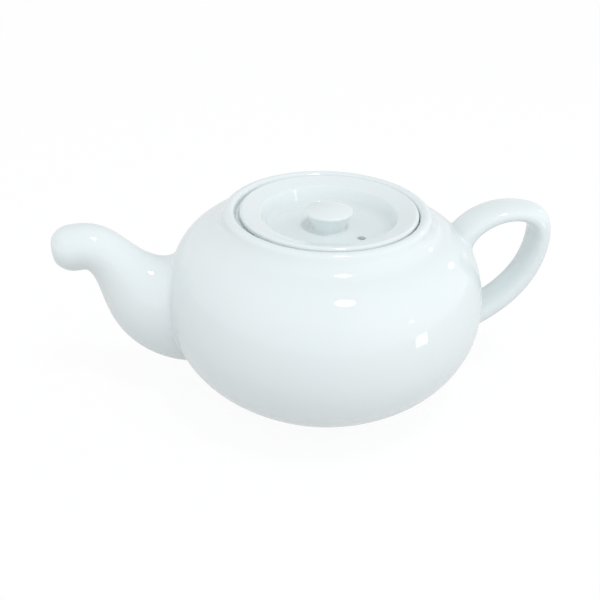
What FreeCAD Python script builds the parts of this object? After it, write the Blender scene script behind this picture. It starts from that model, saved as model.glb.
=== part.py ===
import FreeCAD, Part
import math
import os
import Sketcher

# A small round teapot in glazed porcelain. The pot is thrown or cast as one wall with its foot ring and its
# collar, the spout and the handle are cast apart and luted on, and a sunken lid with a knob lies in the collar.
# Millimetres and degrees. The origin is on the table under the middle of the pot, +Z is up,
# the handle is on +X and the spout is on -X.

os.makedirs("parts", exist_ok=True)
doc = FreeCAD.newDocument("Teapot")

SIZES = {
    # pot wall: the belly is its widest line, and two arcs run from there down and two up
    "belly_radius": 60.0,
    "belly_height": 41.4,
    "lower_curve_share": 0.892,
    "lower_curve_turn": 43.5,
    "upper_curve_radius": 42.0,
    "upper_curve_turn": 23.3,
    "shoulder_inset": 18.0,
    "shoulder_rise": 29.4,
    "wall": 4.0,
    "floor_thickness": 4.0,
    # foot ring that the pot stands on
    "foot_inset": 29.5,
    "foot_flare": 1.5,
    "foot_height": 2.5,
    "foot_ring_width": 3.0,
    "foot_recess": 2.5,
    "foot_rounding": 0.8,
    # collar round the mouth, with the ledge that carries the lid
    "collar_inset": 6.3,
    "collar_rise": 6.7,
    "collar_bead_radius": 2.2,
    "seat_drop": 3.0,
    "ledge_width": 4.8,
    "ledge_thickness": 4.5,
    "throat_rounding": 1.0,
    # strainer: rings of holes in the wall behind the spout
    "strainer_drop": 6.0,
    "strainer_pitch": 5.2,
    "strainer_hole": 3.6,
    "strainer_rings": 2,
    # spout: four control points of its centre line, out from the belly and up from the belly's height
    "spout_root_inset": 14.0,
    "spout_root_drop": 2.4,
    "spout_lead_out": 17.3,
    "spout_lead_drop": 6.0,
    "spout_rise_out": 13.6,
    "spout_rise_up": 27.1,
    "spout_tip_out": 32.4,
    "spout_tip_up": 22.1,
    "spout_root_depth": 7.5,
    "spout_root_tall": 50.4,
    "spout_root_wide": 34.0,
    "spout_tip_diameter": 16.5,
    "spout_taper": 4.9,
    "spout_wall": 2.8,
    "spout_nose_rounding": 5.6,
    "spout_nose_straight": 1.1,
    "spout_mouth_diameter": 8.8,
    "spout_lip_rounding": 0.8,
    # handle: two curves that meet where it reaches furthest out
    "handle_top_inset": 8.9,
    "handle_top_up": 21.5,
    "handle_lead_inset": 4.4,
    "handle_lead_up": 35.8,
    "handle_reach": 21.6,
    "handle_reach_up": 22.2,
    "handle_crown_lead": 17.0,
    "handle_tail_lead": 14.4,
    "handle_bow_out": 13.0,
    "handle_bow_drop": 6.4,
    "handle_low_inset": 9.4,
    "handle_low_drop": 15.8,
    "handle_low_depth": 8.0,
    "handle_top_depth": 7.5,
    "handle_root_thick": 9.6,
    "handle_crown_thick": 6.0,
    "handle_grip_thick": 8.3,
    "handle_low_thick": 10.1,
    "handle_root_wide": 15.6,
    "handle_grip_wide": 12.0,
    "handle_low_wide": 15.0,
    # lid: a brim on the ledge round a sunken dish
    "lid_side_gap": 0.9,
    "lid_seat_gap": 0.1,
    "lid_throat_gap": 0.8,
    "brim_width": 7.6,
    "brim_thickness": 3.2,
    "brim_fall": 2.35,
    "brim_edge_flat": 0.8,
    "dish_slope": 3.5,
    "dish_depth": 6.2,
    "dish_thickness": 3.0,
    "dish_lip_rounding": 0.8,
    "dish_corner_rounding": 2.5,
    "vent_diameter": 3.0,
    "vent_inset": 6.6,
    "vent_turn": -39.0,
    # knob on the dish
    "knob_height": 8.6,
    "knob_rim_radius": 9.1,
    "knob_rim_drop": 1.5,
    "knob_waist_radius": 6.4,
    "knob_flank_radius": 20.0,
    "knob_rounding": 0.6,
}

# sizes that follow from those above, as the sheet works them out
FOLLOWING = {
    "belly_inner_radius": "belly_radius - wall",
    "lower_curve_radius": "(belly_height - foot_height) * lower_curve_share",
    "lower_joint_height": "belly_height - lower_curve_radius * sin(lower_curve_turn)",
    "upper_joint_height": "belly_height + upper_curve_radius * sin(upper_curve_turn)",
    "shoulder_radius": "belly_radius - shoulder_inset",
    "shoulder_height": "belly_height + shoulder_rise",
    "floor_height": "foot_recess + floor_thickness",
    "foot_radius": "belly_radius - foot_inset",
    "foot_top_radius": "foot_radius + foot_flare",
    "foot_inner_radius": "foot_radius - foot_ring_width",
    "collar_radius": "shoulder_radius - collar_inset",
    "collar_crest": "shoulder_height + collar_rise",
    "bead_height": "collar_crest - collar_bead_radius",
    "gallery_radius": "collar_radius - collar_bead_radius",
    "seat_height": "collar_crest - seat_drop",
    "throat_radius": "gallery_radius - ledge_width",
    "throat_height": "seat_height - ledge_thickness",
    "strainer_height": "belly_height - strainer_drop",
    "spout_nose_length": "spout_nose_rounding + spout_nose_straight",
    "handle_above": "handle_reach_up + handle_crown_lead",
    "handle_below": "handle_reach_up - handle_tail_lead",
    "lid_radius": "gallery_radius - lid_side_gap",
    "brim_under": "seat_height + lid_seat_gap",
    "brim_top": "brim_under + brim_thickness",
    "brim_rounding": "(brim_thickness - brim_edge_flat) / 2",
    "dish_rim_radius": "lid_radius - brim_width",
    "dish_rim_height": "brim_top - brim_fall",
    "dish_floor_radius": "dish_rim_radius - dish_slope",
    "dish_floor_height": "dish_rim_height - dish_depth",
    "dish_under_height": "dish_floor_height - dish_thickness",
    "plug_radius": "throat_radius - lid_throat_gap",
    "plug_foot_radius": "plug_radius - dish_slope",
    "vent_x": "(dish_floor_radius - vent_inset) * cos(vent_turn)",
    "vent_y": "(dish_floor_radius - vent_inset) * sin(vent_turn)",
    "knob_top": "dish_floor_height + knob_height",
    "knob_edge": "knob_top - knob_rim_drop",
}

sheet = doc.addObject("Spreadsheet::Sheet", "Sizes")
lines = list(SIZES.items()) + [(name, f"={text}") for name, text in FOLLOWING.items()]
for row, (name, value) in enumerate(lines, start=1):
    sheet.set(f"A{row}", name)
    sheet.setAlias(f"B{row}", name)
for row, (name, value) in enumerate(lines, start=1):
    sheet.set(f"B{row}", str(value))
doc.recompute()


def size(name):
    """The number in the sheet's cell of this name."""
    return float(sheet.get(name))


def cell(name):
    """The cell of this name, as it is written in an expression."""
    return f"Sizes.{name}"


def vector(point):
    return FreeCAD.Vector(point[0], point[1], 0)


def sine(name):
    return math.sin(math.radians(size(name)))


def cosine(name):
    return math.cos(math.radians(size(name)))


# Sketches

# how a sketch numbers the ends and the centre of a line or an arc, and its own axes
START, END, CENTRE = range(1, 4)
AXIS_H, AXIS_V = range(-1, -3, -1)
ROOT = (AXIS_H, START)
SAME_PLACE = 0.001


def new_body(label):
    body = doc.addObject("PartDesign::Body", label)
    body.Label = label
    return body


def new_sketch(body, name, role):
    """An empty sketch on one of the body's own origin planes."""
    sketch = body.newObject("Sketcher::SketchObject", name)
    plane = next(f for f in body.Origin.OriginFeatures if f.Role == role)
    sketch.AttachmentSupport = [(plane, "")]
    sketch.MapMode = "FlatFace"
    return sketch


def tie(sketch, kind, *what):
    return sketch.addConstraint(Sketcher.Constraint(kind, *what))


def bind(sketch, kind, what, name):
    """A dimension that holds the size of this name."""
    index = tie(sketch, kind, *what, size(name))
    sketch.setExpression(f"Constraints[{index}]", cell(name))


def pin(sketch, point, x=None, y=None):
    """Holds a point at the sizes of these names from the sketch's origin."""
    if x:
        bind(sketch, "DistanceX", (*ROOT, *point), x)
    if y:
        bind(sketch, "DistanceY", (*ROOT, *point), y)


def draw_line(sketch, start, end, guide=False):
    return sketch.addGeometry(Part.LineSegment(vector(start), vector(end)), guide)


def draw_arc(sketch, centre, start, end):
    """An arc that turns anticlockwise from start to end about its centre."""
    first = math.atan2(start[1] - centre[1], start[0] - centre[0])
    last = math.atan2(end[1] - centre[1], end[0] - centre[0])
    if last < first:
        last += 2 * math.pi
    circle = Part.Circle(vector(centre), FreeCAD.Vector(0, 0, 1), math.dist(centre, start))
    return sketch.addGeometry(Part.ArcOfCircle(circle, first, last), False)


def draw_chain(sketch, points):
    """Straight lines from point to point, joined at their ends."""
    lines = [draw_line(sketch, a, b) for a, b in zip(points, points[1:])]
    for before, after in zip(lines, lines[1:]):
        tie(sketch, "Coincident", before, END, after, START)
    return lines


def turn_on(body, sketch, name, kind):
    """A solid of revolution about the pot's own axis, added or cut away."""
    feature = body.newObject(f"PartDesign::{kind}", name)
    feature.Profile = sketch
    feature.ReferenceAxis = (sketch, ["V_Axis"])
    feature.Angle = 360
    doc.recompute()
    return feature


def round_found(body, base, name, rounding, wanted):
    """A fillet on the feature's edges that answer the question at several places along them."""
    found = [f"Edge{number}" for number, edge in enumerate(base.Shape.Edges, start=1)
             if not edge.Degenerated and all(wanted(place) for place in edge.discretize(5))]
    fillet = body.newObject("PartDesign::Fillet", name)
    fillet.Base = (base, found)
    fillet.setExpression("Radius", cell(rounding))
    doc.recompute()
    return fillet


def round_ring(body, base, name, rounding, rings):
    """A fillet on the turned edges whose radius and height have these names."""
    def on_ring(place):
        around = math.hypot(place.x, place.y)
        return any(math.dist((around, place.z), (size(radius), height)) < SAME_PLACE
                   for radius, height in places)

    places = [(radius, size(height) if height else 0.0) for radius, height in rings]
    return round_found(body, base, name, rounding, on_ring)


# Pot wall

def wall_points():
    """Places on the outside of the pot, as radius and height: joints of its arcs and their centres."""
    def tangent_centre(joint, normal, end):
        """Centre of the arc that leaves the joint square to the normal and ends at the given point."""
        chord = (end[0] - joint[0], end[1] - joint[1])
        inward = -(chord[0] * normal[0] + chord[1] * normal[1])
        radius = (chord[0] ** 2 + chord[1] ** 2) / (2 * inward)
        return (joint[0] - radius * normal[0], joint[1] - radius * normal[1])

    def from_centre(centre, radius, normal):
        return (centre[0] + radius * normal[0], centre[1] + radius * normal[1])

    p = {"belly": (size("belly_radius"), size("belly_height"))}
    p["foot"] = (size("foot_top_radius"), size("foot_height"))
    p["shoulder"] = (size("shoulder_radius"), size("shoulder_height"))
    down = (cosine("lower_curve_turn"), -sine("lower_curve_turn"))
    up = (cosine("upper_curve_turn"), sine("upper_curve_turn"))
    p["lower_centre"] = (size("belly_radius") - size("lower_curve_radius"), size("belly_height"))
    p["upper_centre"] = (size("belly_radius") - size("upper_curve_radius"), size("belly_height"))
    p["lower_joint"] = from_centre(p["lower_centre"], size("lower_curve_radius"), down)
    p["upper_joint"] = from_centre(p["upper_centre"], size("upper_curve_radius"), up)
    p["base_centre"] = tangent_centre(p["lower_joint"], down, p["foot"])
    p["shoulder_centre"] = tangent_centre(p["upper_joint"], up, p["shoulder"])

    # the hollow flare leaves the shoulder square to this normal and runs into the bead of the collar
    reach = math.dist(p["shoulder"], p["shoulder_centre"])
    normal = [(a - b) / reach for a, b in zip(p["shoulder"], p["shoulder_centre"])]
    bead = size("collar_bead_radius")
    p["bead_centre"] = (size("collar_radius"), size("bead_height"))
    off = [a - b for a, b in zip(p["shoulder"], p["bead_centre"])]
    along = off[0] * normal[0] + off[1] * normal[1]
    flare = (off[0] ** 2 + off[1] ** 2 - bead ** 2) / (2 * (bead - along))
    p["flare_centre"] = from_centre(p["shoulder"], flare, normal)
    share = bead / (bead + flare)
    p["bead_start"] = tuple(b + share * (f - b) for b, f in zip(p["bead_centre"], p["flare_centre"]))
    p["bead_end"] = (size("gallery_radius"), size("bead_height"))
    return p


def draw_outside(sketch):
    """The outside of the pot from the foot's resting edge to the inner side of the collar."""
    p = wall_points()
    foot = draw_line(sketch, (size("foot_radius"), 0), p["foot"])
    base = draw_arc(sketch, p["base_centre"], p["foot"], p["lower_joint"])
    lower = draw_arc(sketch, p["lower_centre"], p["lower_joint"], p["belly"])
    upper = draw_arc(sketch, p["upper_centre"], p["belly"], p["upper_joint"])
    shoulder = draw_arc(sketch, p["shoulder_centre"], p["upper_joint"], p["shoulder"])
    flare = draw_arc(sketch, p["flare_centre"], p["bead_start"], p["shoulder"])
    bead = draw_arc(sketch, p["bead_centre"], p["bead_start"], p["bead_end"])

    tie(sketch, "Coincident", foot, END, base, START)
    tie(sketch, "Tangent", base, END, lower, START)
    tie(sketch, "Coincident", lower, END, upper, START)
    tie(sketch, "Tangent", upper, END, shoulder, START)
    tie(sketch, "Tangent", shoulder, END, flare, END)
    tie(sketch, "Tangent", flare, START, bead, START)
    tie(sketch, "PointOnObject", foot, START, AXIS_H)
    tie(sketch, "Horizontal", lower, CENTRE, lower, END)
    tie(sketch, "Horizontal", upper, CENTRE, upper, START)
    tie(sketch, "Horizontal", bead, CENTRE, bead, END)

    pin(sketch, (foot, START), x="foot_radius")
    pin(sketch, (foot, END), "foot_top_radius", "foot_height")
    pin(sketch, (lower, END), "belly_radius", "belly_height")
    bind(sketch, "Radius", (lower,), "lower_curve_radius")
    bind(sketch, "Radius", (upper,), "upper_curve_radius")
    pin(sketch, (lower, START), y="lower_joint_height")
    pin(sketch, (upper, END), y="upper_joint_height")
    pin(sketch, (shoulder, END), "shoulder_radius", "shoulder_height")
    bind(sketch, "Radius", (bead,), "collar_bead_radius")
    pin(sketch, (bead, CENTRE), "collar_radius", "bead_height")
    return p, {"foot": foot, "base": base, "lower": lower, "upper": upper, "shoulder": shoulder, "bead": bead}


def cut_to_pot(body):
    """Cuts a piece that is luted on the pot back to the pot's outside, so that the two meet face to face."""
    sketch = new_sketch(body, f"{body.Label}_seat", "XZ_Plane")
    p, edges = draw_outside(sketch)
    top = p["bead_end"][1]
    lines = draw_chain(sketch, [p["bead_end"], (0, top), (0, 0), (size("foot_radius"), 0)])
    tie(sketch, "Coincident", edges["bead"], END, lines[0], START)
    tie(sketch, "Coincident", lines[-1], END, edges["foot"], START)
    tie(sketch, "Horizontal", lines[0])
    tie(sketch, "PointOnObject", lines[1], START, AXIS_V)
    tie(sketch, "Coincident", lines[1], END, *ROOT)
    return turn_on(body, sketch, f"{body.Label}_cut", "Groove")


def build_pot_body():
    """Wall, floor, foot ring, collar and lid ledge turned as one section, then the strainer holes."""
    body = new_body("pot_body")
    sketch = new_sketch(body, "pot_section", "XZ_Plane")
    p, edges = draw_outside(sketch)
    wall = size("wall")

    def inside(centre, joint):
        """The place one wall inside a joint, towards the centre of its arc."""
        share = wall / math.dist(joint, centre)
        return tuple(j + share * (c - j) for j, c in zip(joint, centre))

    belly_in = (size("belly_inner_radius"), size("belly_height"))
    lower_in = inside(p["lower_centre"], p["lower_joint"])
    upper_in = inside(p["upper_centre"], p["upper_joint"])
    shoulder_in = inside(p["shoulder_centre"], p["shoulder"])
    floor_height = size("floor_height")
    drop = p["base_centre"][1] - floor_height
    floor_reach = math.sqrt(math.dist(p["base_centre"], lower_in) ** 2 - drop ** 2)
    floor_edge = (p["base_centre"][0] + floor_reach, floor_height)

    base = draw_arc(sketch, p["base_centre"], floor_edge, lower_in)
    lower = draw_arc(sketch, p["lower_centre"], lower_in, belly_in)
    upper = draw_arc(sketch, p["upper_centre"], belly_in, upper_in)
    shoulder = draw_arc(sketch, p["shoulder_centre"], upper_in, shoulder_in)
    for inner, name in ((base, "base"), (lower, "lower"), (upper, "upper"), (shoulder, "shoulder")):
        tie(sketch, "Coincident", inner, CENTRE, edges[name], CENTRE)
    tie(sketch, "Tangent", base, END, lower, START)
    tie(sketch, "Coincident", lower, END, upper, START)
    tie(sketch, "Tangent", upper, END, shoulder, START)
    tie(sketch, "Horizontal", lower, CENTRE, lower, END)
    pin(sketch, (lower, END), x="belly_inner_radius")

    # gallery wall, ledge that carries the lid, throat, and the slope under the ledge
    seat, throat = size("seat_height"), size("throat_radius")
    ledge = draw_chain(sketch, [
        p["bead_end"], (p["bead_end"][0], seat), (throat, seat), (throat, size("throat_height")), shoulder_in,
    ])
    tie(sketch, "Coincident", edges["bead"], END, ledge[0], START)
    tie(sketch, "Coincident", ledge[-1], END, shoulder, END)
    tie(sketch, "Vertical", ledge[0])
    tie(sketch, "Horizontal", ledge[1])
    tie(sketch, "Vertical", ledge[2])
    pin(sketch, (ledge[2], START), "throat_radius", "seat_height")
    pin(sketch, (ledge[2], END), y="throat_height")
    spoke = draw_line(sketch, p["shoulder_centre"], p["shoulder"], True)
    tie(sketch, "Coincident", spoke, START, shoulder, CENTRE)
    tie(sketch, "Coincident", spoke, END, edges["shoulder"], END)
    tie(sketch, "PointOnObject", shoulder, END, spoke)

    recess, ring_inner = size("foot_recess"), size("foot_inner_radius")
    under = draw_chain(sketch, [
        floor_edge, (0, floor_height), (0, recess), (ring_inner, recess), (ring_inner, 0), (size("foot_radius"), 0),
    ])
    tie(sketch, "Coincident", base, START, under[0], START)
    tie(sketch, "Coincident", under[-1], END, edges["foot"], START)
    tie(sketch, "Horizontal", under[0])
    tie(sketch, "PointOnObject", under[1], START, AXIS_V)
    tie(sketch, "PointOnObject", under[1], END, AXIS_V)
    tie(sketch, "Horizontal", under[2])
    tie(sketch, "Vertical", under[3])
    tie(sketch, "PointOnObject", under[4], START, AXIS_H)
    pin(sketch, (under[0], START), y="floor_height")
    pin(sketch, (under[2], END), "foot_inner_radius", "foot_recess")

    feature = turn_on(body, sketch, "pot_wall", "Revolution")
    feature = round_ring(body, feature, "foot_edges", "foot_rounding",
                         [("foot_radius", None), ("foot_inner_radius", None)])
    round_ring(body, feature, "throat_edge", "throat_rounding", [("throat_radius", "seat_height")])
    pierce_strainer(body)
    return body


def pierce_strainer(body):
    """Straight holes through the wall behind the spout: one in the middle and rings of six, twelve and so on."""
    for ring in range(int(size("strainer_rings")) + 1):
        before = body.Tip.Shape.Volume
        sketch = new_sketch(body, f"strainer_hole_{ring}", "YZ_Plane")
        sketch.setExpression("AttachmentOffset.Base.y", cell("strainer_height"))
        middle = (ring * size("strainer_pitch"), 0)
        circle = Part.Circle(vector(middle), FreeCAD.Vector(0, 0, 1), size("strainer_hole") / 2)
        hole = sketch.addGeometry(circle, False)
        bind(sketch, "Diameter", (hole,), "strainer_hole")
        if ring:
            tie(sketch, "PointOnObject", hole, CENTRE, AXIS_H)
            out = tie(sketch, "DistanceX", *ROOT, hole, CENTRE, middle[0])
            sketch.setExpression(f"Constraints[{out}]", f"{ring} * Sizes.strainer_pitch")
        else:
            tie(sketch, "Coincident", hole, CENTRE, *ROOT)
        pocket = body.newObject("PartDesign::Pocket", f"strainer_cut_{ring}")
        pocket.Profile = sketch
        pocket.Type = "Length"
        pocket.setExpression("Length", cell("belly_radius"))
        doc.recompute()
        if ring:
            pattern = body.newObject("PartDesign::PolarPattern", f"strainer_ring_{ring}")
            pattern.Originals = [pocket]
            pattern.Axis = (sketch, ["N_Axis"])
            pattern.Angle = 360
            pattern.Occurrences = 6 * ring
            body.Tip = pattern
            doc.recompute()
        if body.Tip.Shape.Volume > before - 1:
            raise RuntimeError(f"strainer ring {ring} cuts nothing")


# Swept pieces: ovals square to a curve in the plane of the spout and the handle

HANDLE_SIDE, SPOUT_SIDE = 1, -1
NOT_PAST = ("0", 0.0)


def signed(sign, name):
    """A size with its sign, as an expression and its value."""
    return (f"{sign} * {cell(name)}", sign * size(name))


def weighted(weights, terms):
    """A weighted sum of expressions, as an expression and its value."""
    parts = [(w, t) for w, t in zip(weights, terms) if abs(w) > 1e-9]
    text = " + ".join(f"{w:.6f} * ({t[0]})" for w, t in parts)
    return text, sum(w * t[1] for w, t in parts)


def station(side, curve, share, past=NOT_PAST):
    """Place and tilt of a section at a share of a curve's run, or straight on past its end.

    The curve has four control points, given as how far out from the belly and how far up from its height.
    The tilt turns the section square to the curve, about the axis across the plane of the curve."""
    rest = 1 - share
    weights = (rest ** 3, 3 * share * rest ** 2, 3 * share ** 2 * rest, share ** 3)
    slopes = (-rest ** 2, rest ** 2 - 2 * share * rest, 2 * share * rest - share ** 2, share ** 2)
    out, up = curve
    reach, height = weighted(weights, out), weighted(weights, up)
    run, climb = weighted(slopes, out), weighted(slopes, up)
    steep = f"atan2({climb[0]}; {run[0]})"
    lean = math.atan2(climb[1], run[1])
    x = (f"{side} * (Sizes.belly_radius + {reach[0]} + ({past[0]}) * cos({steep}))",
         side * (size("belly_radius") + reach[1] + past[1] * math.cos(lean)))
    z = (f"Sizes.belly_height + {height[0]} + ({past[0]}) * sin({steep})",
         size("belly_height") + height[1] + past[1] * math.sin(lean))
    return x, z, (f"-90 deg - {side} * {steep}", -90 - side * math.degrees(lean))


def oval(body, name, place, tall, wide):
    """An oval section: tall in the plane of the curve and wide across it, each an expression and its value."""
    x, z, tilt = place
    sketch = new_sketch(body, name, "XY_Plane")
    turn = FreeCAD.Rotation(FreeCAD.Vector(0, 1, 0), tilt[1])
    sketch.AttachmentOffset = FreeCAD.Placement(FreeCAD.Vector(x[1], 0, z[1]), turn)
    sketch.setExpression("AttachmentOffset.Base.x", x[0])
    sketch.setExpression("AttachmentOffset.Base.z", z[0])
    sketch.setExpression("AttachmentOffset.Rotation.Angle", tilt[0])
    if tall == wide:
        circle = sketch.addGeometry(Part.Circle(vector((0, 0)), FreeCAD.Vector(0, 0, 1), tall[1] / 2), False)
        tie(sketch, "Coincident", circle, CENTRE, *ROOT)
        across = tie(sketch, "Diameter", circle, tall[1])
        sketch.setExpression(f"Constraints[{across}]", tall[0])
        return sketch
    upright = tall[1] > wide[1]
    ends = [vector((tall[1] / 2, 0)), vector((0, wide[1] / 2))]
    if not upright:
        ends.reverse()
    ellipse = sketch.addGeometry(Part.Ellipse(*ends, vector((0, 0))), False)
    sketch.exposeInternalGeometry(ellipse)
    major, minor = ellipse + 1, ellipse + 2
    tie(sketch, "Coincident", ellipse, CENTRE, *ROOT)
    tie(sketch, "Horizontal" if upright else "Vertical", major)
    for axis, length in ((major, tall if upright else wide), (minor, wide if upright else tall)):
        index = tie(sketch, "Distance", axis, length[1])
        sketch.setExpression(f"Constraints[{index}]", length[0])
    return sketch


def loft(body, name, kind, sections):
    feature = body.newObject(f"PartDesign::{kind}", name)
    feature.Profile = sections[0]
    feature.Sections = sections[1:]
    doc.recompute()
    return feature


# Spout

SPOUT_STATIONS = (0.0, 0.09, 0.19, 0.31, 0.43, 0.55, 0.69, 0.85, 1.0)
ROUND_FROM = 0.8
BORE_OVERRUN = 1.5


def spout_sections(body, label, wall, mouth):
    """Sections of the spout's outside, or of its bore one wall inside it, from within the pot to the mouth.

    The section shrinks from the root's to the tip's by one minus the square of the share of the run,
    to the power of the taper, and past the tip it runs straight on to the mouth."""
    curve = ([signed(-1, "spout_root_inset"), signed(1, "spout_lead_out"), signed(1, "spout_rise_out"),
              signed(1, "spout_tip_out")],
             [signed(-1, "spout_root_drop"), signed(-1, "spout_lead_drop"), signed(1, "spout_rise_up"),
              signed(1, "spout_tip_up")])
    bore = wall is not None
    thin = (f"2 * {cell(wall)}", 2 * size(wall)) if bore else NOT_PAST
    over = BORE_OVERRUN if bore else 0.0

    def girth(share, root):
        text = f"Sizes.spout_tip_diameter - {thin[0]}"
        value = size("spout_tip_diameter") - thin[1]
        if share < ROUND_FROM:
            text += f" + ({cell(root)} - Sizes.spout_tip_diameter) * {1 - share ** 2:.6f} ^ Sizes.spout_taper"
            growth = (1 - share ** 2) ** size("spout_taper")
            value += (size(root) - size("spout_tip_diameter")) * growth
        return text, value

    back = (f"-Sizes.spout_root_depth - {over}", -size("spout_root_depth") - over)
    places = [station(SPOUT_SIDE, curve, 0.0, back)]
    places += [station(SPOUT_SIDE, curve, share) for share in SPOUT_STATIONS]
    sections = []
    for number, (share, place) in enumerate(zip((0.0, *SPOUT_STATIONS), places)):
        tall, wide = girth(share, "spout_root_tall"), girth(share, "spout_root_wide")
        sections.append(oval(body, f"{label}_{number}", place, tall, wide))
    end = (cell(mouth), size(mouth))
    for times in (1, 2) if bore else (1,):
        place = station(SPOUT_SIDE, curve, 1.0, signed(times, "spout_nose_length"))
        sections.append(oval(body, f"{label}_mouth_{times}", place, end, end))
    return sections


def build_spout():
    """Swan-necked spout: a lofted skin with a rounded nose, its lofted bore, the seat on the pot, the lip."""
    body = new_body("spout")
    outside = spout_sections(body, "skin", None, "spout_tip_diameter")
    skin = loft(body, "spout_skin", "AdditiveLoft", outside)
    to_mouth = outside[-1].Placement.inverse()
    nose = round_found(body, skin, "spout_nose", "spout_nose_rounding",
                       lambda place: abs(to_mouth.multVec(place).z) < 1e-3)
    loft(body, "spout_bore", "SubtractiveLoft", spout_sections(body, "bore", "spout_wall", "spout_mouth_diameter"))
    if body.Tip.Shape.Volume > nose.Shape.Volume / 2:
        raise RuntimeError("the spout's bore cuts too little")
    seat = cut_to_pot(body)

    def on_lip(place):
        local = to_mouth.multVec(place)
        off = abs(math.hypot(local.x, local.y) - size("spout_mouth_diameter") / 2)
        return abs(local.z) < size("spout_nose_rounding") / 2 and off < size("spout_lip_rounding") / 2

    round_found(body, seat, "spout_lip", "spout_lip_rounding", on_lip)
    return body


# Handle

CROWN_STATIONS = (0.0, 0.13, 0.28, 0.43, 0.6, 0.8)
BOW_STATIONS = (0.0, 0.17, 0.35, 0.53, 0.7, 0.86, 1.0)


def handle_sections(body):
    """Flattened sections along two curves that meet, straight down, where the handle reaches furthest out."""
    reach, peak = signed(1, "handle_reach"), signed(1, "handle_reach_up")
    above, below = signed(1, "handle_above"), signed(1, "handle_below")
    crown = ([signed(-1, "handle_top_inset"), signed(-1, "handle_lead_inset"), reach, reach],
             [signed(1, "handle_top_up"), signed(1, "handle_lead_up"), above, peak])
    bow = ([reach, reach, signed(1, "handle_bow_out"), signed(-1, "handle_low_inset")],
           [peak, below, signed(-1, "handle_bow_drop"), signed(-1, "handle_low_drop")])

    def mix(weights, *names):
        return weighted(weights, [signed(1, name) for name in names])

    sections = []

    def add_crown(share, past=NOT_PAST):
        rest = 1 - share
        thick = mix((rest ** 2, 2 * share * rest, share ** 2),
                    "handle_root_thick", "handle_crown_thick", "handle_grip_thick")
        wide = mix((rest ** 2, 1 - rest ** 2), "handle_root_wide", "handle_grip_wide")
        place = station(HANDLE_SIDE, crown, share, past)
        sections.append(oval(body, f"handle_{len(sections)}", place, thick, wide))

    def add_bow(share, past=NOT_PAST):
        thick = mix((1 - share ** 2, share ** 2), "handle_grip_thick", "handle_low_thick")
        wide = mix((1 - share ** 2, share ** 2), "handle_grip_wide", "handle_low_wide")
        place = station(HANDLE_SIDE, bow, share, past)
        sections.append(oval(body, f"handle_{len(sections)}", place, thick, wide))

    add_crown(0.0, signed(-1, "handle_top_depth"))
    for share in CROWN_STATIONS:
        add_crown(share)
    for share in BOW_STATIONS:
        add_bow(share)
    add_bow(1.0, signed(1, "handle_low_depth"))
    return sections


def build_handle():
    """Ear-shaped loop handle, solid, cut back to the pot at both roots."""
    body = new_body("handle")
    loft(body, "handle_loop", "AdditiveLoft", handle_sections(body))
    cut_to_pot(body)
    return body


# Lid and knob

def build_lid():
    """Brim and sunken dish turned as one section, with a steam vent through the dish."""
    body = new_body("lid")
    corners = [
        ("plug_foot_radius", "dish_under_height"),
        ("plug_radius", "brim_under"),
        ("lid_radius", "brim_under"),
        ("lid_radius", "brim_top"),
        ("dish_rim_radius", "dish_rim_height"),
        ("dish_floor_radius", "dish_floor_height"),
    ]
    sketch = new_sketch(body, "lid_section", "XZ_Plane")
    below, above = (0, size("dish_under_height")), (0, size("dish_floor_height"))
    lines = draw_chain(sketch, [below, *[(size(x), size(z)) for x, z in corners], above, below])
    tie(sketch, "Coincident", lines[-1], END, lines[0], START)
    tie(sketch, "PointOnObject", lines[0], START, AXIS_V)
    tie(sketch, "PointOnObject", lines[-1], START, AXIS_V)
    tie(sketch, "Horizontal", lines[0])
    tie(sketch, "Horizontal", lines[-2])
    for line, (x, z) in zip(lines, corners):
        pin(sketch, (line, END), x, z)
    feature = turn_on(body, sketch, "lid_disc", "Revolution")
    feature = round_ring(body, feature, "brim_edge", "brim_rounding", corners[2:4])
    feature = round_ring(body, feature, "dish_lip", "dish_lip_rounding", corners[4:5])
    feature = round_ring(body, feature, "dish_corner", "dish_corner_rounding", [corners[0], corners[5]])

    before = feature.Shape.Volume
    sketch = new_sketch(body, "vent_hole", "XY_Plane")
    sketch.setExpression("AttachmentOffset.Base.z", cell("brim_top"))
    middle = (size("vent_x"), size("vent_y"))
    circle = Part.Circle(vector(middle), FreeCAD.Vector(0, 0, 1), size("vent_diameter") / 2)
    hole = sketch.addGeometry(circle, False)
    bind(sketch, "Diameter", (hole,), "vent_diameter")
    pin(sketch, (hole, CENTRE), "vent_x", "vent_y")
    vent = body.newObject("PartDesign::Pocket", "steam_vent")
    vent.Profile = sketch
    vent.Type = "ThroughAll"
    doc.recompute()
    if vent.Shape.Volume > before - 1:
        raise RuntimeError("the vent cuts nothing")
    return body


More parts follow.
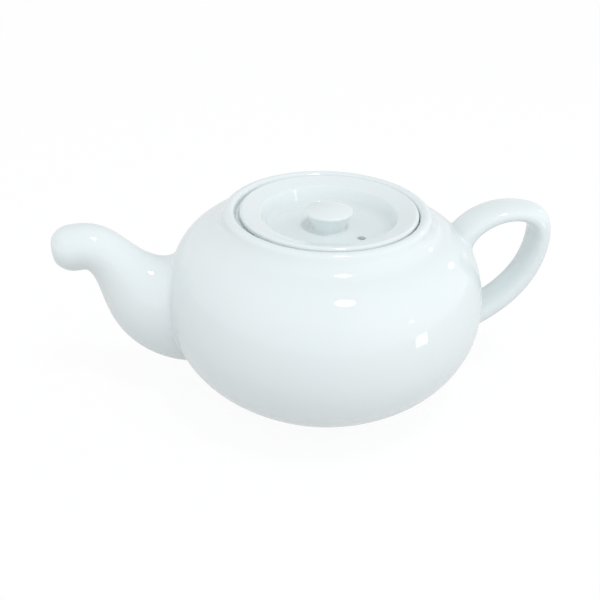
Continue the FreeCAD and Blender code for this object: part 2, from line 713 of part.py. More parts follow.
def build_lid_knob():
    """Waisted knob, wider at its slightly domed top, standing on the dish."""
    body = new_body("lid_knob")
    floor, edge, top = size("dish_floor_height"), size("knob_edge"), size("knob_top")
    rim, waist = size("knob_rim_radius"), size("knob_waist_radius")
    sketch = new_sketch(body, "knob_section", "XZ_Plane")

    # the dome is an arc about the axis, and the flank a hollow arc from the rim to the waist
    dome_radius = (rim ** 2 + size("knob_rim_drop") ** 2) / (2 * size("knob_rim_drop"))
    dome = draw_arc(sketch, (0, top - dome_radius), (rim, edge), (0, top))
    flank_radius = size("knob_flank_radius")
    chord = (waist - rim, floor - edge)
    length = math.hypot(*chord)
    bow = math.sqrt(flank_radius ** 2 - length ** 2 / 4) / length
    centre = ((rim + waist) / 2 - bow * chord[1], (edge + floor) / 2 + bow * chord[0])
    flank = draw_arc(sketch, centre, (rim, edge), (waist, floor))
    lines = draw_chain(sketch, [(0, top), (0, floor), (waist, floor)])
    tie(sketch, "Coincident", dome, END, lines[0], START)
    tie(sketch, "Coincident", lines[-1], END, flank, END)
    tie(sketch, "Coincident", flank, START, dome, START)
    tie(sketch, "PointOnObject", lines[0], START, AXIS_V)
    tie(sketch, "PointOnObject", lines[0], END, AXIS_V)
    tie(sketch, "PointOnObject", dome, CENTRE, AXIS_V)
    tie(sketch, "Horizontal", lines[1])
    bind(sketch, "Radius", (flank,), "knob_flank_radius")
    pin(sketch, (dome, START), "knob_rim_radius", "knob_edge")
    pin(sketch, (dome, END), y="knob_top")
    pin(sketch, (flank, END), "knob_waist_radius", "dish_floor_height")
    feature = turn_on(body, sketch, "knob_turned", "Revolution")
    round_ring(body, feature, "knob_rim", "knob_rounding", [("knob_rim_radius", "knob_edge")])
    return body


pieces = [build_pot_body(), build_spout(), build_handle(), build_lid(), build_lid_knob()]
doc.recompute()

for thing in doc.Objects:
    if {"Invalid", "Error"} & set(thing.State):
        raise RuntimeError(f"{thing.Label} failed: {thing.State}")
for piece in pieces:
    if piece.Shape.isNull() or not piece.Shape.isValid() or len(piece.Shape.Solids) != 1:
        raise RuntimeError(f"{piece.Label} is not one sound solid")
for piece in pieces:
    piece.Shape.exportStep(f"parts/{piece.Label}.step")
    box = piece.Shape.BoundBox
    print(f"{piece.Label}: {piece.Shape.Volume / 1000:.1f} cm3, x {box.XMin:.1f} to {box.XMax:.1f},"
          f" y {box.YMin:.1f} to {box.YMax:.1f}, z {box.ZMin:.1f} to {box.ZMax:.1f}")
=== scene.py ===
import math

import bpy
import numpy as np
from mathutils import Matrix


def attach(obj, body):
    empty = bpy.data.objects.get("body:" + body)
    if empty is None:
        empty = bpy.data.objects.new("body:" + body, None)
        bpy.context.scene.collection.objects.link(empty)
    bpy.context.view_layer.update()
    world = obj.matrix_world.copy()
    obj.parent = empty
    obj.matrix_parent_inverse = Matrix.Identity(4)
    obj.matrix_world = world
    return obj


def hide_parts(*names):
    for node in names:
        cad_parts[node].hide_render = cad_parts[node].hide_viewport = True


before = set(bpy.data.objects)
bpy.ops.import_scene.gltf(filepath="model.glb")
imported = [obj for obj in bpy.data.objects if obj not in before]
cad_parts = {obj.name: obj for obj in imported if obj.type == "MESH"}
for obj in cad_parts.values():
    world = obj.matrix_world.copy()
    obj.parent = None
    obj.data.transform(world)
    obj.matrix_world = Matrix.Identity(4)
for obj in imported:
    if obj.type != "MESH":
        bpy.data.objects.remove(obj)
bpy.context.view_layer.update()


# POT BODY
# One wall of white porcelain, turned or cast with its foot ring and its collar, glazed inside and out
# and fired standing on the foot ring, whose lower face is left bare. Behind the spout the wall is pierced
# with a strainer of nineteen small holes before firing.

BELLY_R, BELLY_Z = 60.0, 41.4
LOWER_R, LOWER_TURN = 34.7, math.radians(43.5)
UPPER_R, UPPER_TURN = 42.0, math.radians(23.3)
FOOT_TOP = np.array([32.0, 2.5])
SHOULDER = np.array([42.0, 70.8])
BEAD_C, BEAD_R = np.array([35.7, 75.3]), 2.2
CLOSE_TO_BEAD = -1.0
FOOT_INNER_R, FOOT_OUTER_R, FOOT_ROUNDING = 27.5, 30.5, 0.8
BASE_Z, BASE_ROUNDING = 2.5, 1.2
WALL = 4.0
SEAT_Z, THROAT_Z, THROAT_R = 74.5, 70.0, 28.7


def bend(centre, radius, start, end, count):
    """Places on an arc about a centre, from a start angle to an end angle, as radius and height."""
    turn = np.linspace(start, end, count)
    return np.stack([centre[0] + radius * np.cos(turn), centre[1] + radius * np.sin(turn)], axis=1)


def rounded(corners, count=7):
    """Corners given as radius, height and rounding, joined by straight lines, each corner turned into an
    arc of its rounding that touches both lines."""
    xy = np.array([c[:2] for c in corners], float)
    rows = [xy[:1]]
    for k in range(1, len(corners) - 1):
        p, radius = xy[k], corners[k][2]
        a = (xy[k - 1] - p) / np.linalg.norm(xy[k - 1] - p)
        b = (xy[k + 1] - p) / np.linalg.norm(xy[k + 1] - p)
        half = math.acos(np.clip(a @ b, -1, 1)) / 2
        centre = p + (a + b) / np.linalg.norm(a + b) * radius / math.sin(half)
        first, last = p + a * radius / math.tan(half) - centre, p + b * radius / math.tan(half) - centre
        start, end = math.atan2(first[1], first[0]), math.atan2(last[1], last[0])
        end = start + (end - start + math.pi) % (2 * math.pi) - math.pi
        rows.append(bend(centre, radius, start, end, count))
    rows.append(xy[-1:])
    return np.concatenate(rows)


def filled(line, step):
    """The same line with more places on its long stretches, so that no stretch is longer than a step."""
    rows = [line[:1]]
    for a, b in zip(line, line[1:]):
        parts = max(1, int(math.ceil(np.linalg.norm(b - a) / step)))
        share = np.arange(1, parts + 1)[:, None] / parts
        rows.append(a + (b - a) * share)
    line = np.concatenate(rows)
    keep = np.concatenate([[True], np.linalg.norm(np.diff(line, axis=0), axis=1) > 1e-6])
    return line[keep]


MM = 0.001


def as_object(name, verts, faces):
    """A smooth mesh object in metres from places in millimetres."""
    mesh = bpy.data.meshes.new(name)
    mesh.from_pydata((np.asarray(verts) * MM).tolist(), [], faces)
    mesh.validate()
    mesh.polygons.foreach_set("use_smooth", np.ones(len(mesh.polygons), bool))
    obj = bpy.data.objects.new(name, mesh)
    bpy.context.scene.collection.objects.link(obj)
    return obj


def lathe(name, line, around=256):
    """A line of radius and height, from the axis out and back to the axis, turned about the upright axis.
    Each end on the axis is one vertex with a fan of triangles round it."""
    ring = line[1:-1]
    turn = np.linspace(0, 2 * math.pi, around, endpoint=False)
    x = ring[:, :1] * np.cos(turn)
    y = ring[:, :1] * np.sin(turn)
    z = np.broadcast_to(ring[:, 1:], x.shape)
    verts = np.stack([x, y, z], axis=2).reshape(-1, 3)
    ends = np.array([[0, 0, line[0, 1]], [0, 0, line[-1, 1]]])
    index = np.arange(len(ring) * around).reshape(len(ring), around)
    ahead = np.roll(index, -1, axis=1)
    quads = np.stack([index[:-1], ahead[:-1], ahead[1:], index[1:]], axis=2).reshape(-1, 4)
    first, last = index.size, index.size + 1
    fan = np.stack([ahead[0], index[0], np.full(around, first)], axis=1)
    top = np.stack([index[-1], ahead[-1], np.full(around, last)], axis=1)
    return as_object(name, np.concatenate([verts, ends]), quads.tolist() + fan.tolist() + top.tolist())


def arc_to(joint, normal, end):
    """Centre and radius of the arc that leaves a joint square to its normal and ends at a place."""
    chord = end - joint
    radius = chord @ chord / (-2 * chord @ normal)
    return joint - radius * normal, radius


lower_c = np.array([BELLY_R - LOWER_R, BELLY_Z])
upper_c = np.array([BELLY_R - UPPER_R, BELLY_Z])
lower_n = np.array([math.cos(LOWER_TURN), -math.sin(LOWER_TURN)])
upper_n = np.array([math.cos(UPPER_TURN), math.sin(UPPER_TURN)])
base_c, base_r = arc_to(lower_c + LOWER_R * lower_n, lower_n, FOOT_TOP)
shoulder_c, shoulder_r = arc_to(upper_c + UPPER_R * upper_n, upper_n, SHOULDER)
shoulder_angle = math.atan2(*(SHOULDER - shoulder_c)[::-1]) + CLOSE_TO_BEAD / shoulder_r
shoulder_n = np.array([math.cos(shoulder_angle), math.sin(shoulder_angle)])
shoulder_end = shoulder_c + shoulder_r * shoulder_n
off = shoulder_end - BEAD_C
flare_r = (off @ off - BEAD_R ** 2) / (2 * (BEAD_R - off @ shoulder_n))
flare_c = shoulder_end + flare_r * shoulder_n
foot_angle = math.atan2(*(FOOT_TOP - base_c)[::-1])
to_bead = math.atan2(*(BEAD_C - flare_c)[::-1]) % (2 * math.pi)

FLOOR_Z, FLOOR_ROUNDING = 6.5, 8.0
SEAT_ROUNDING, THROAT_ROUNDING, THROAT_LOW_ROUNDING = 0.5, 1.0, 0.8
GALLERY_R = BEAD_C[0] - BEAD_R
foot = rounded([(0, BASE_Z, 0), (FOOT_INNER_R, BASE_Z, BASE_ROUNDING), (FOOT_INNER_R, 0, FOOT_ROUNDING),
                (FOOT_OUTER_R, 0, FOOT_ROUNDING), (*FOOT_TOP, 0)])[:-1]
outside = np.concatenate([
    bend(base_c, base_r, foot_angle, -LOWER_TURN, 40),
    bend(lower_c, LOWER_R, -LOWER_TURN, 0, 28)[1:],
    bend(upper_c, UPPER_R, 0, UPPER_TURN, 20)[1:],
    bend(shoulder_c, shoulder_r, UPPER_TURN, shoulder_angle, 28)[1:],
    bend(flare_c, flare_r, shoulder_angle + math.pi, to_bead, 14)[1:],
    bend(BEAD_C, BEAD_R, to_bead - math.pi, math.pi, 20)[1:],
])
ledge = rounded([(GALLERY_R, BEAD_C[1], 0), (GALLERY_R, SEAT_Z, SEAT_ROUNDING), (THROAT_R, SEAT_Z, THROAT_ROUNDING),
                 (THROAT_R, THROAT_Z, THROAT_LOW_ROUNDING), (*(shoulder_end - WALL * shoulder_n), 0)])
inside = np.concatenate([
    bend(shoulder_c, shoulder_r - WALL, shoulder_angle, UPPER_TURN, 24),
    bend(upper_c, UPPER_R - WALL, UPPER_TURN, 0, 16)[1:],
    bend(lower_c, LOWER_R - WALL, 0, -LOWER_TURN, 20)[1:],
])
floor_r = base_c[0] + math.sqrt((base_r - WALL) ** 2 - (FLOOR_Z - base_c[1]) ** 2)
bowl = rounded([(*inside[-1], 0), (floor_r, FLOOR_Z, FLOOR_ROUNDING), (0, FLOOR_Z, 0)], 14)
pot_line = np.concatenate([foot, outside, ledge[1:-1], inside, bowl[1:]])
pot_body = lathe("pot_body_glazed", filled(pot_line, 3.0))

STRAINER_Z, STRAINER_PITCH, HOLE_R = 35.4, 5.2, 1.8
STRAINER_FROM, STRAINER_TO = -64.0, -48.0
HOLE_SIDES, HOLE_TURN = 32, 0.05  # turned a little, so that no corner of a hole lies on an edge of the wall
turn = HOLE_TURN + np.linspace(0, 2 * math.pi, HOLE_SIDES, endpoint=False)
verts, faces = [], []
for ring in range(3):
    for place in np.linspace(0, 2 * math.pi, max(1, 6 * ring), endpoint=False):
        y = ring * STRAINER_PITCH * math.cos(place) + HOLE_R * np.cos(turn)
        z = STRAINER_Z + ring * STRAINER_PITCH * math.sin(place) + HOLE_R * np.sin(turn)
        first = np.arange(HOLE_SIDES) + HOLE_SIDES * len(verts)
        ahead = np.roll(first, -1)
        verts += [np.stack([np.full(HOLE_SIDES, x), y, z], axis=1) for x in (STRAINER_FROM, STRAINER_TO)]
        faces += np.stack([first, ahead, ahead + HOLE_SIDES, first + HOLE_SIDES], axis=1).tolist()
        faces += [first[::-1].tolist(), (first + HOLE_SIDES).tolist()]
strainer = as_object("strainer_cutter", np.concatenate(verts), faces)


def pierce(piece, cutter):
    """Takes the cutter's form out of a piece and keeps the edges of the new holes crisp."""
    cut = piece.modifiers.new("holes", "BOOLEAN")
    cut.operation = "DIFFERENCE"
    cut.solver = "EXACT"
    cut.object = cutter
    bpy.context.view_layer.update()
    pierced = bpy.data.meshes.new_from_object(piece.evaluated_get(bpy.context.evaluated_depsgraph_get()))
    piece.modifiers.clear()
    piece.data = pierced
    piece.data.set_sharp_from_angle(angle=math.radians(40))
    bpy.data.objects.remove(cutter)


pierce(pot_body, strainer)

glaze = bpy.data.materials.new("white_glaze")
glaze.use_nodes = True
nodes, links = glaze.node_tree.nodes, glaze.node_tree.links
shader = nodes["Principled BSDF"]
shader.inputs["IOR"].default_value = 1.52
where = nodes.new("ShaderNodeTexCoord")


def noise(scale, detail, low, high):
    """A slow unevenness over the piece: a noise of the place, whose middle values are spread from low to high."""
    texture = nodes.new("ShaderNodeTexNoise")
    texture.inputs["Scale"].default_value = scale
    texture.inputs["Detail"].default_value = detail
    links.new(where.outputs["Object"], texture.inputs["Vector"])
    spread = nodes.new("ShaderNodeMapRange")
    spread.inputs["From Min"].default_value = 0.3
    spread.inputs["From Max"].default_value = 0.7
    spread.inputs["To Min"].default_value = low
    spread.inputs["To Max"].default_value = high
    links.new(texture.outputs["Fac"], spread.inputs["Value"])
    return spread.outputs["Result"]


tint = nodes.new("ShaderNodeMix")
tint.data_type = "RGBA"
tint.inputs["A"].default_value = (0.800, 0.865, 0.875, 1)
tint.inputs["B"].default_value = (0.815, 0.875, 0.883, 1)
links.new(noise(22, 2, 0, 1), tint.inputs["Factor"])
height = nodes.new("ShaderNodeSeparateXYZ")
links.new(where.outputs["Object"], height.inputs["Vector"])
bare = nodes.new("ShaderNodeMapRange")
bare.inputs["From Min"].default_value = 0.0002
bare.inputs["From Max"].default_value = 0.0005
bare.inputs["To Min"].default_value = 1
bare.inputs["To Max"].default_value = 0
links.new(height.outputs["Z"], bare.inputs["Value"])
biscuit = nodes.new("ShaderNodeMix")
biscuit.data_type = "RGBA"
biscuit.inputs["B"].default_value = (0.72, 0.69, 0.63, 1)
links.new(bare.outputs["Result"], biscuit.inputs["Factor"])
links.new(tint.outputs["Result"], biscuit.inputs["A"])
links.new(biscuit.outputs["Result"], shader.inputs["Base Color"])
matt = nodes.new("ShaderNodeMix")
matt.inputs["B"].default_value = 0.7
links.new(bare.outputs["Result"], matt.inputs["Factor"])
links.new(noise(60, 3, 0.03, 0.07), matt.inputs["A"])
links.new(matt.outputs["Result"], shader.inputs["Roughness"])
ripple = nodes.new("ShaderNodeBump")
ripple.inputs["Strength"].default_value = 0.06
ripple.inputs["Distance"].default_value = 0.0004
links.new(noise(45, 1, 0, 1), ripple.inputs["Height"])
links.new(ripple.outputs["Normal"], shader.inputs["Normal"])

pot_body.data.materials.append(glaze)
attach(pot_body, "pot")
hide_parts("pot_body")


# SPOUT
# A hollow swan neck of the same porcelain, slip-cast by itself and luted over the strainer holes in the
# pot's wall. Its root is oval and tall, its tip is a round bulb, and the glaze fills the seam to a small fillet.

SPOUT_CURVE = np.array([[46.0, 39.0], [76.7, 35.8], [74.0, 65.9], [89.6, 63.9]])
ROOT_TALL, ROOT_WIDE = 25.3, 17.0
TIP_R, TAPER = 8.45, 4.75
SPOUT_WALL = 2.8
NOSE_LENGTH, NOSE_R = 10.6, 8.2
MOUTH_R, LIP_R = 4.4, 0.8
SPOUT_FILLET = 1.5


def curve_at(points, share):
    """Places and directions on a curve with four control points, going straight on before and past its ends."""
    t = np.clip(share, 0, 1)[..., None]
    p = points
    place = (1 - t) ** 3 * p[0] + 3 * t * (1 - t) ** 2 * p[1] + 3 * t ** 2 * (1 - t) * p[2] + t ** 3 * p[3]
    way = (1 - t) ** 2 * (p[1] - p[0]) + 2 * t * (1 - t) * (p[2] - p[1]) + t ** 2 * (p[3] - p[2])
    place = place + 3 * way * (share[..., None] - t)
    return place, way / np.linalg.norm(way, axis=-1, keepdims=True)


def pot_radius(z):
    """Radius of the pot's outside at a height, from the four arcs of its outline."""
    def on(centre, radius):
        return centre[0] + np.sqrt(np.maximum(radius ** 2 - (z - centre[1]) ** 2, 0))
    return np.select(
        [z < (lower_c + LOWER_R * lower_n)[1], z < BELLY_Z, z < (upper_c + UPPER_R * upper_n)[1]],
        [on(base_c, base_r), on(lower_c, LOWER_R), on(upper_c, UPPER_R)],
        on(shoulder_c, shoulder_r),
    )


def seam(surface, turn, start, end, clear):
    """Share of the run, for each angle round the section, where a swept surface comes out of the pot's wall,
    or of a wall further out by a clearance. Halves the interval again and again."""
    low, high = np.full(turn.shape, start), np.full(turn.shape, end)
    for _ in range(50):
        middle = (low + high) / 2
        place = surface(middle, turn)
        within = np.hypot(place[..., 0], place[..., 1]) < pot_radius(place[..., 2]) + clear
        low, high = np.where(within, middle, low), np.where(within, high, middle)
    return low


def spout_skin(share, turn, thinner=0.0):
    """Ellipse square to the centre line. It shrinks from root to tip by one minus the square of the share
    of the run, to the power of the taper."""
    place, way = curve_at(SPOUT_CURVE, share)
    full = (1 - np.clip(share, 0, 1) ** 2) ** TAPER
    tall = TIP_R + (ROOT_TALL - TIP_R) * full - thinner
    wide = TIP_R + (ROOT_WIDE - TIP_R) * full - thinner
    out = place[..., 0] - tall * np.cos(turn) * way[..., 1]
    up = place[..., 1] + tall * np.cos(turn) * way[..., 0]
    return np.stack([-out, wide * np.sin(turn), up], axis=-1)


def fillet_rows(surface, turn, start, end, size, count):
    """Rows of a fillet between a swept surface and the pot: a curve with three control points, which lie on
    the pot just outside the seam, on the seam, and on the swept surface just above it."""
    beyond = surface(seam(lambda s, a: surface(s, a, -size), turn, start, end, -0.05), turn, -size)
    edge = surface(seam(surface, turn, start, end, 0.0), turn)
    above_at = seam(surface, turn, start, end, size)
    above = surface(above_at, turn)
    share = np.linspace(0, 1, count)[:, None, None]
    return (1 - share) ** 2 * beyond + 2 * share * (1 - share) * edge + share ** 2 * above, above_at


def skin_object(name, rows, closed):
    """A grid of rows round a section as a mesh. A closed grid joins its last row to its first, and an open
    one has each end drawn in to one vertex at the middle of its row."""
    count, around = rows.shape[:2]
    index = np.arange(count * around).reshape(count, around)
    ahead = np.roll(index, -1, axis=1)
    after, after_ahead = np.roll(index, -1, axis=0), np.roll(ahead, -1, axis=0)
    quads = np.stack([index, ahead, after_ahead, after], axis=2)
    verts = rows.reshape(-1, 3)
    if closed:
        return as_object(name, verts, quads.reshape(-1, 4).tolist())
    verts = np.concatenate([verts, rows[0].mean(0)[None], rows[-1].mean(0)[None]])
    fan = np.stack([ahead[0], index[0], np.full(around, index.size)], axis=1)
    end = np.stack([index[-1], ahead[-1], np.full(around, index.size + 1)], axis=1)
    return as_object(name, verts, quads[:-1].reshape(-1, 4).tolist() + fan.tolist() + end.tolist())


SPOUT_SIDES = 192
turn = np.linspace(0, 2 * math.pi, SPOUT_SIDES, endpoint=False)
fillet, root_at = fillet_rows(spout_skin, turn, -0.15, 0.5, SPOUT_FILLET, 9)
run = np.linspace(0, 1, 90)[1:, None]
neck = spout_skin(root_at + (1 - root_at) * run, np.broadcast_to(turn, (len(run), SPOUT_SIDES)))
nose_c = np.array([NOSE_LENGTH - NOSE_R, TIP_R - NOSE_R])
lip_out = MOUTH_R + LIP_R
lip_c = np.array([nose_c[0] + math.sqrt((NOSE_R - LIP_R) ** 2 - (lip_out - nose_c[1]) ** 2), lip_out])
lip_turn = math.atan2(*(lip_c - nose_c))
nose_turn = np.linspace(0, lip_turn, 24)[1:]
lip_line = np.linspace(lip_turn, math.pi, 16)[1:]
past = np.concatenate([nose_c[0] + NOSE_R * np.sin(nose_turn), lip_c[0] + LIP_R * np.sin(lip_line)])
girth = np.concatenate([nose_c[1] + NOSE_R * np.cos(nose_turn), lip_c[1] + LIP_R * np.cos(lip_line)])
tip, way = curve_at(SPOUT_CURVE, np.array(1.0))
out = tip[0] + past[:, None] * way[0] - girth[:, None] * np.cos(turn) * way[1]
up = tip[1] + past[:, None] * way[1] + girth[:, None] * np.cos(turn) * way[0]
nose = np.stack([-out, girth[:, None] * np.sin(turn) + 0 * out, up], axis=-1)
bore_at = seam(lambda s, a: spout_skin(s, a, SPOUT_WALL), turn, -0.15, 0.5, 0.05)
bore_run = np.linspace(1, 0, 40)[:, None]
bore = spout_skin(bore_at + (1 - bore_at) * bore_run, np.broadcast_to(turn, (len(bore_run), SPOUT_SIDES)), SPOUT_WALL)
spout = skin_object("spout_glazed", np.concatenate([fillet, neck, nose, bore]), True)
spout.data.materials.append(glaze)
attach(spout, "pot")
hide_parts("spout")


# HANDLE
# A solid ear-shaped loop of the same porcelain, pressed or cast by itself as a flattened strap. It is luted on
# at the shoulder and below the belly, where it is thickest, and the glaze fills its seams.

CROWN = np.array([[51.1, 62.9], [55.6, 77.2], [81.6, 80.6], [81.6, 63.6]])
BOW = np.array([[81.6, 63.6], [81.6, 49.2], [73.0, 35.0], [50.6, 25.6]])
THICK_ROOT, THICK_CROWN, THICK_GRIP, THICK_LOW = 4.7, 2.0, 3.5, 4.6
WIDE_ROOT, WIDE_GRIP, WIDE_LOW = 7.8, 7.1, 7.7
STRAP_SQUARENESS = 2.4
SHOULDER_SWELL, SWELL_AT, SWELL_SPREAD = 1.5, 0.78, 0.13
HANDLE_FILLET = 1.6


def handle_skin(share, turn, thinner=0.0):
    """Strap section square to the two curves, the first up to share one and the second from there to two.
    The section is an ellipse with a higher power than two, which has flatter faces. On its outer side it swells
    where the loop turns down, by a bell curve of the share."""
    first = np.clip(share, None, 1)
    second = np.clip(share - 1, 0, None)
    on_crown, way_crown = curve_at(CROWN, first)
    on_bow, way_bow = curve_at(BOW, second)
    lower = (share > 1)[..., None]
    place, way = np.where(lower, on_bow, on_crown), np.where(lower, way_bow, way_crown)
    t, b = np.clip(first, 0, 1), np.clip(second, 0, 1)
    thick = np.where(share > 1, THICK_GRIP + (THICK_LOW - THICK_GRIP) * b ** 2,
                     (1 - t) ** 2 * THICK_ROOT + 2 * t * (1 - t) * THICK_CROWN + t ** 2 * THICK_GRIP)
    wide = np.where(share > 1, WIDE_GRIP + (WIDE_LOW - WIDE_GRIP) * b ** 2,
                    WIDE_GRIP + (WIDE_ROOT - WIDE_GRIP) * (1 - t) ** 2)
    high, across = (np.sign(f) * np.abs(f) ** (2 / STRAP_SQUARENESS) for f in (np.cos(turn), np.sin(turn)))
    swell = SHOULDER_SWELL * np.exp(-((share - SWELL_AT) / SWELL_SPREAD) ** 2)
    thick = thick - thinner + np.where(high > 0, swell, 0)
    out = place[..., 0] - thick * high * way[..., 1]
    up = place[..., 1] + thick * high * way[..., 0]
    return np.stack([out, (wide - thinner) * across, up], axis=-1)


HANDLE_SIDES = 96
turn = np.linspace(0, 2 * math.pi, HANDLE_SIDES, endpoint=False)
top_fillet, top_at = fillet_rows(handle_skin, turn, -0.2, 0.6, HANDLE_FILLET, 8)
low_fillet, low_at = fillet_rows(lambda s, a, d=0.0: handle_skin(2.0 - s, a, d), turn, -0.12, 0.6, HANDLE_FILLET, 8)
low_at = 2.0 - low_at
run = np.linspace(0, 1, 160)[1:-1, None]
loop = handle_skin(top_at + (low_at - top_at) * run, np.broadcast_to(turn, (len(run), HANDLE_SIDES)))
rows = np.concatenate([top_fillet, loop, low_fillet[::-1]])[:, ::-1]
handle = skin_object("handle_glazed", rows, False)
handle.data.materials.append(glaze)
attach(handle, "pot")
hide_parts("handle")


# LID
# A turned disc of the same porcelain with a brim that lies on the collar's ledge and a dish sunk below it.
# A small steam vent is pierced through the dish before firing, and the glaze rounds its edge. The lid lies
# loose, pushed a little towards the handle in its gap.

LID_R, BRIM_UNDER, BRIM_TOP = 32.6, 74.6, 77.8
DISH_RIM, DISH_RIM_R = 75.45, 25.0
DISH_FLOOR, DISH_FLOOR_R, DISH_ROUNDING = 69.25, 22.6, 3.0
DISH_UNDER, PLUG_R, PLUG_FOOT_R = 66.25, 27.9, 24.4
VENT_R, VENT_OFFSET, VENT_TURN = 1.5, 14.0, math.radians(-38.5)
VENT_EDGE = 0.45
PLUG_ROUNDING, PLUG_TOP_ROUNDING, BRIM_LOW_ROUNDING, BRIM_TOP_ROUNDING, DISH_RIM_ROUNDING = 2.5, 0.6, 1.4, 1.2, 1.0
LID_PUSH = Matrix.Translation((0.7 * MM, 0, 0))
lid_line = rounded([
    (0, DISH_UNDER, 0), (PLUG_FOOT_R, DISH_UNDER, PLUG_ROUNDING), (PLUG_R, BRIM_UNDER, PLUG_TOP_ROUNDING),
    (LID_R, BRIM_UNDER, BRIM_LOW_ROUNDING), (LID_R, BRIM_TOP, BRIM_TOP_ROUNDING),
    (DISH_RIM_R, DISH_RIM, DISH_RIM_ROUNDING), (DISH_FLOOR_R, DISH_FLOOR, DISH_ROUNDING), (0, DISH_FLOOR, 0),
], 14)
lid = lathe("lid_glazed", filled(lid_line, 1.2))

vent_turn = np.linspace(0, math.pi / 2, 8)
vent_top = np.stack([VENT_R + VENT_EDGE * (1 - np.cos(vent_turn)), DISH_FLOOR - VENT_EDGE * (1 - np.sin(vent_turn))], 1)
vent_low = np.stack([vent_top[::-1, 0], DISH_FLOOR + DISH_UNDER - vent_top[::-1, 1]], 1)
vent_line = np.concatenate([[[0, DISH_UNDER - 1]], [[VENT_R + VENT_EDGE, DISH_UNDER - 1]], vent_low, vent_top,
                            [[VENT_R + VENT_EDGE, DISH_FLOOR + 1]], [[0, DISH_FLOOR + 1]]])
vent = lathe("vent_cutter", vent_line, 48)
vent_at = MM * VENT_OFFSET * np.array([math.cos(VENT_TURN), math.sin(VENT_TURN), 0])
vent.data.transform(Matrix.Translation(vent_at.tolist()))
pierce(lid, vent)
lid.data.transform(LID_PUSH)
lid.data.materials.append(glaze)
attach(lid, "lid")
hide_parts("lid")


# LID KNOB
# A small solid knob of the same porcelain, turned with a waist and a slightly domed top. It is luted on
# the middle of the dish and fired with the lid.

KNOB_TOP, KNOB_RIM_R, KNOB_RIM_DROP = 77.85, 9.1, 1.5
KNOB_WAIST_R, KNOB_FOOT = 6.3, 0.7
KNOB_FLARE, KNOB_ROUNDING = 1.4, 0.6
rim_z = KNOB_TOP - KNOB_RIM_DROP
dome_r = (KNOB_RIM_R ** 2 + KNOB_RIM_DROP ** 2) / (2 * KNOB_RIM_DROP)
dome = bend((0, KNOB_TOP - dome_r), dome_r, math.atan2(dome_r - KNOB_RIM_DROP, KNOB_RIM_R), math.pi / 2, 24)
drop = np.linspace(0, 1, 20)
flank = np.stack([KNOB_WAIST_R + (KNOB_RIM_R - KNOB_WAIST_R) * drop ** KNOB_FLARE,
                  DISH_FLOOR + KNOB_FOOT + (rim_z - DISH_FLOOR - KNOB_FOOT) * drop], axis=1)
foot_turn = np.linspace(math.pi, math.pi * 1.5, 8)
foot_line = np.stack([KNOB_WAIST_R + KNOB_FOOT + KNOB_FOOT * np.cos(foot_turn),
                      DISH_FLOOR + KNOB_FOOT + KNOB_FOOT * np.sin(foot_turn)], axis=1)[::-1]
edge = rounded([(*flank[-6], 0), (*flank[-1], KNOB_ROUNDING), (*dome[4], 0)], 10)
knob_line = np.concatenate([[[0, DISH_FLOOR + 0.02]], foot_line, flank[1:-6], edge, dome[5:-1], [[0, KNOB_TOP]]])
lid_knob = lathe("lid_knob_glazed", filled(knob_line, 0.8), 128)
lid_knob.data.transform(LID_PUSH)
lid_knob.data.materials.append(glaze)
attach(lid_knob, "lid")
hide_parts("lid_knob")


# FLOOR AND LIGHT
# A white table in a bright overcast room that shows white behind it. A round lamp hangs overhead, and a low
# window and two small ones on the right give the small highlights.

TABLE_REACH = 3.0
corners = [(TABLE_REACH * x, TABLE_REACH * y, 0) for x, y in ((-1, -1), (1, -1), (1, 1), (-1, 1))]
floor_mesh = bpy.data.meshes.new("floor")
floor_mesh.from_pydata(corners, [], [(0, 1, 2, 3)])
floor = bpy.data.objects.new("floor", floor_mesh)
bpy.context.scene.collection.objects.link(floor)
table = bpy.data.materials.new("white_table")
table.use_nodes = True
nodes, links = table.node_tree.nodes, table.node_tree.links
cloth = nodes["Principled BSDF"]
cloth.inputs["Base Color"].default_value = (0.58, 0.585, 0.585, 1)
cloth.inputs["Roughness"].default_value = 0.9
cloth.inputs["Specular IOR Level"].default_value = 0.1
path = nodes.new("ShaderNodeLightPath")
white = nodes.new("ShaderNodeEmission")
white.inputs["Strength"].default_value = 1.08
show = nodes.new("ShaderNodeMixShader")
shares = []
for ray, part in (("Is Camera Ray", 0.85), ("Is Transmission Ray", 0.85), ("Is Glossy Ray", 0.6)):
    share = nodes.new("ShaderNodeMath")
    share.operation = "MULTIPLY_ADD"
    links.new(path.outputs[ray], share.inputs[0])
    share.inputs[1].default_value = part
    if shares:
        links.new(shares[-1].outputs["Value"], share.inputs[2])
    else:
        share.inputs[2].default_value = 0
    shares.append(share)
links.new(shares[-1].outputs["Value"], show.inputs["Fac"])
links.new(cloth.outputs["BSDF"], show.inputs[1])
links.new(white.outputs["Emission"], show.inputs[2])
links.new(show.outputs["Shader"], nodes["Material Output"].inputs["Surface"])
floor.data.materials.append(table)

world = bpy.data.worlds.new("room")
bpy.context.scene.world = world
world.use_nodes = True
nodes, links = world.node_tree.nodes, world.node_tree.links
ways = nodes.new("ShaderNodeSeparateXYZ")
links.new(nodes.new("ShaderNodeTexCoord").outputs["Generated"], ways.inputs["Vector"])
along_x, along_y, along_z = ways.outputs


def reckon(kind, first, second=0.0):
    """A sum on two numbers or sockets in the world's tree."""
    node = nodes.new("ShaderNodeMath")
    node.operation = kind
    for socket, value in zip(node.inputs, (first, second)):
        if isinstance(value, float):
            socket.default_value = value
        else:
            links.new(value, socket)
    return node.outputs["Value"]


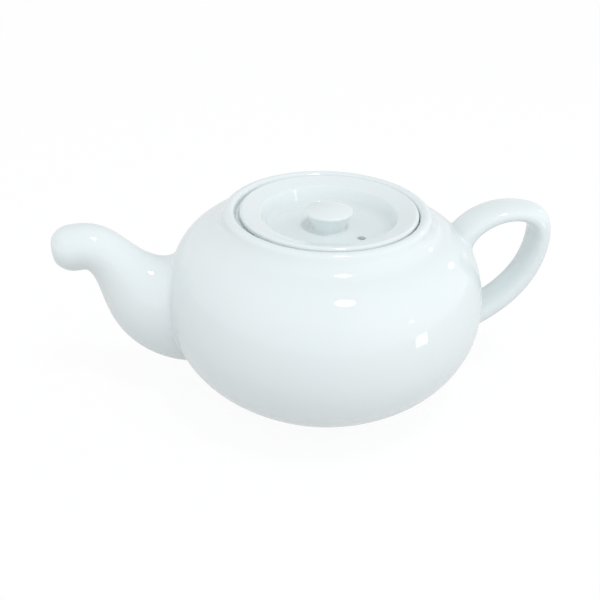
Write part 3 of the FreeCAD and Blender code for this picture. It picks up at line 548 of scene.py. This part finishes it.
# The room is brighter low down, in front behind the camera, on the right and, less so, on the left than at the back.
PLAIN, LOW_DOWN, IN_FRONT, ON_LEFT, ON_RIGHT = 0.45, 0.34, 0.45, 0.36, 0.52
level = reckon("MULTIPLY", reckon("POWER", reckon("SUBTRACT", 1.0, along_z), 2.0), LOW_DOWN)
for way, gain in ((along_y, -IN_FRONT), (along_x, -ON_LEFT), (along_x, ON_RIGHT)):
    level = reckon("ADD", level, reckon("MAXIMUM", reckon("MULTIPLY", way, gain), 0.0))
level = reckon("ADD", level, PLAIN)
room = nodes["Background"]
room.inputs["Color"].default_value = (0.98, 0.99, 1.0, 1)
links.new(level, room.inputs["Strength"])
sight = nodes.new("ShaderNodeBackground")
sight.inputs["Color"].default_value = (1, 1, 1, 1)
path = nodes.new("ShaderNodeLightPath")
mix = nodes.new("ShaderNodeMixShader")
links.new(reckon("MAXIMUM", path.outputs["Is Camera Ray"], path.outputs["Is Transmission Ray"]), mix.inputs["Fac"])
links.new(room.outputs["Background"], mix.inputs[1])
links.new(sight.outputs["Background"], mix.inputs[2])
links.new(mix.outputs["Shader"], nodes["World Output"].inputs["Surface"])


def lamp(name, shape, spread, power, aim, way, distance):
    """An area light that looks at a place in millimetres from a direction, at a distance in metres."""
    data = bpy.data.lights.new(name, "AREA")
    data.shape = shape
    data.size = spread
    data.energy = power
    obj = bpy.data.objects.new(name, data)
    bpy.context.scene.collection.objects.link(obj)
    back = np.array(way) / np.linalg.norm(way)
    place = np.array(aim) * MM + back * distance
    side = np.cross((0, 0, 1), back)
    side /= np.linalg.norm(side)
    turn = np.stack([side, np.cross(back, side), back], axis=1)
    obj.matrix_world = Matrix([[*row, p] for row, p in zip(turn.tolist(), place)] + [[0, 0, 0, 1]])


lamp("overhead_lamp", "DISK", 0.135, 1.4, (0, -49, 68), (0.149, -0.269, 0.951), 0.8)
lamp("window", "SQUARE", 0.036, 0.014, (25, -52, 55), (0.86, -0.49, -0.11), 0.2)
lamp("small_window", "DISK", 0.06, 0.05, (21, -51, 61), (0.8, -0.52, 0.3), 0.9)
lamp("back_window", "DISK", 0.1, 0.08, (40, -27, 68), (0.77, 0.49, 0.4), 0.9)

# The camera stands in front, a little to the spout's side, and looks down at the pot.
FOCAL, SENSOR, PIXELS = 689.03, 36.0, 600
CAMERA_TURN, CAMERA_OUT, CAMERA_UP = math.radians(-8.0), 230.88, 179.55
PITCH, YAW, ROLL = math.radians(31.58), math.radians(2.27), math.radians(1.24)
camera_data = bpy.data.cameras.new("camera")
camera_data.sensor_width = SENSOR
camera_data.lens = FOCAL * SENSOR / PIXELS
camera_data.clip_start = 0.01
camera = bpy.data.objects.new("camera", camera_data)
bpy.context.scene.collection.objects.link(camera)
heading = CAMERA_TURN + YAW
ahead = np.array([-math.sin(heading) * math.cos(PITCH), math.cos(heading) * math.cos(PITCH), -math.sin(PITCH)])
right = np.array([math.cos(heading), math.sin(heading), 0])
above = np.cross(right, ahead)
right, above = (right * math.cos(ROLL) + above * math.sin(ROLL), above * math.cos(ROLL) - right * math.sin(ROLL))
spot = np.array([CAMERA_OUT * math.sin(CAMERA_TURN), -CAMERA_OUT * math.cos(CAMERA_TURN), CAMERA_UP]) * MM
camera.matrix_world = Matrix([[*row, p] for row, p in zip(np.stack([right, above, -ahead], 1).tolist(), spot)]
                             + [[0, 0, 0, 1]])
bpy.context.scene.camera = camera
bpy.context.scene.view_settings.view_transform = "Standard"
